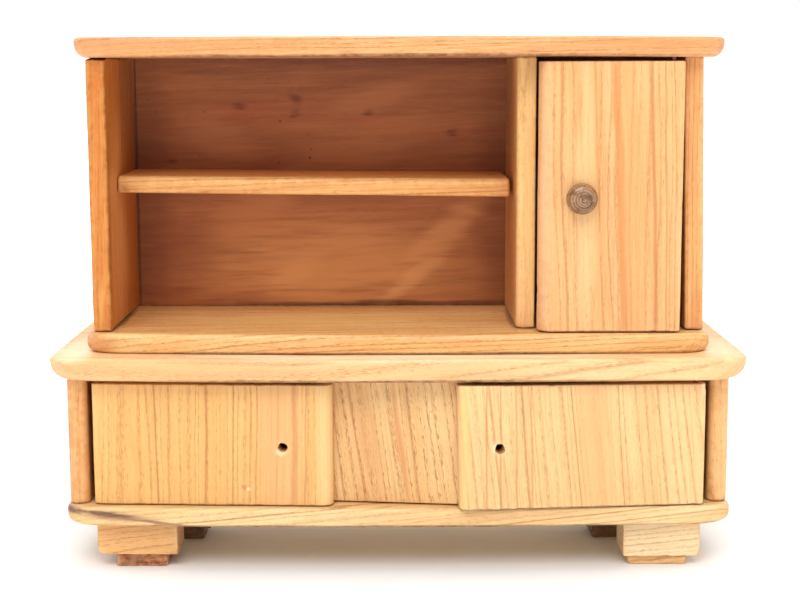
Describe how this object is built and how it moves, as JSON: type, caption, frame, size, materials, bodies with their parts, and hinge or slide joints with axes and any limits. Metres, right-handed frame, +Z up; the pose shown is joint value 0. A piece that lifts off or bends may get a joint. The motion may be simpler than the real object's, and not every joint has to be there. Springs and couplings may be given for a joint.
{
  "type": "dolls' house sideboard cabinet",
  "caption": "Miniature wooden sideboard cabinet in stacked upper and lower sections, with an open shelf bay, hinged doors, bowed board edges and block feet.",
  "frame": {"origin": "middle of the cabinet's bounding footprint, on the surface that it stands on", "axes": "+X to the right seen from the front, +Y from the front to the back, +Z up"},
  "size_m": [0.18, 0.061, 0.1384],
  "materials": {
    "varnished_board": "clear satin varnish on pale fine-pored hardwood, grain along the board",
    "varnished_door": "clear satin varnish on pale fine-pored hardwood, grain upright",
    "ply_back": "thin unpolished plywood, horizontal grain",
    "foot_pad": "worn, thinly varnished hardwood",
    "turned_knob": "turned and polished",
    "wire": "plain steel wire"
  },
  "bodies": {
    "cabinet": {"top_board": "varnished_board", "upper_base_board": "varnished_board", "lower_top_board": "varnished_board", "bottom_board": "varnished_board", "upper_left_side": "varnished_board", "upper_right_side": "varnished_board", "divider": "varnished_board", "lower_left_side": "varnished_board", "lower_right_side": "varnished_board", "shelf": "varnished_board", "centre_panel": "varnished_board", "upper_door_stop": "varnished_board", "upper_back_panel": "ply_back", "lower_back_panel": "ply_back", "front_left_foot_block": "varnished_board", "front_right_foot_block": "varnished_board", "rear_left_foot_block": "varnished_board", "rear_right_foot_block": "varnished_board", "front_left_foot_pad": "foot_pad", "front_right_foot_pad": "foot_pad", "rear_left_foot_pad": "foot_pad", "rear_right_foot_pad": "foot_pad", "upper_door_lower_pin": "wire", "upper_door_upper_pin": "wire", "lower_left_door_lower_pin": "wire", "lower_left_door_upper_pin": "wire", "lower_right_door_lower_pin": "wire", "lower_right_door_upper_pin": "wire", "upper_left_brad_1": "wire", "upper_left_brad_2": "wire", "upper_left_brad_3": "wire", "upper_right_brad_1": "wire", "upper_right_brad_2": "wire", "upper_right_brad_3": "wire", "lower_left_brad_1": "wire", "lower_left_brad_2": "wire", "lower_right_brad_1": "wire", "lower_right_brad_2": "wire"},
    "upper_door": {"upper_door": "varnished_door", "upper_door_knob": "turned_knob"},
    "lower_left_door": {"lower_left_door": "varnished_door"},
    "lower_right_door": {"lower_right_door": "varnished_door"}
  },
  "joints": [
    {"name": "upper_door_hinge", "type": "hinge", "parent": "cabinet", "child": "upper_door", "pos_m": [0.0702, -0.0188, 0.0984], "axis": [0, 0, 1], "range_deg": [0, 110]},
    {"name": "lower_left_door_hinge", "type": "hinge", "parent": "cabinet", "child": "lower_left_door", "pos_m": [-0.0773, -0.02015, 0.0344], "axis": [0, 0, -1], "range_deg": [0, 105]},
    {"name": "lower_right_door_hinge", "type": "hinge", "parent": "cabinet", "child": "lower_right_door", "pos_m": [0.0772, -0.02265, 0.0344], "axis": [0, 0, 1], "range_deg": [0, 100]}
  ]
}
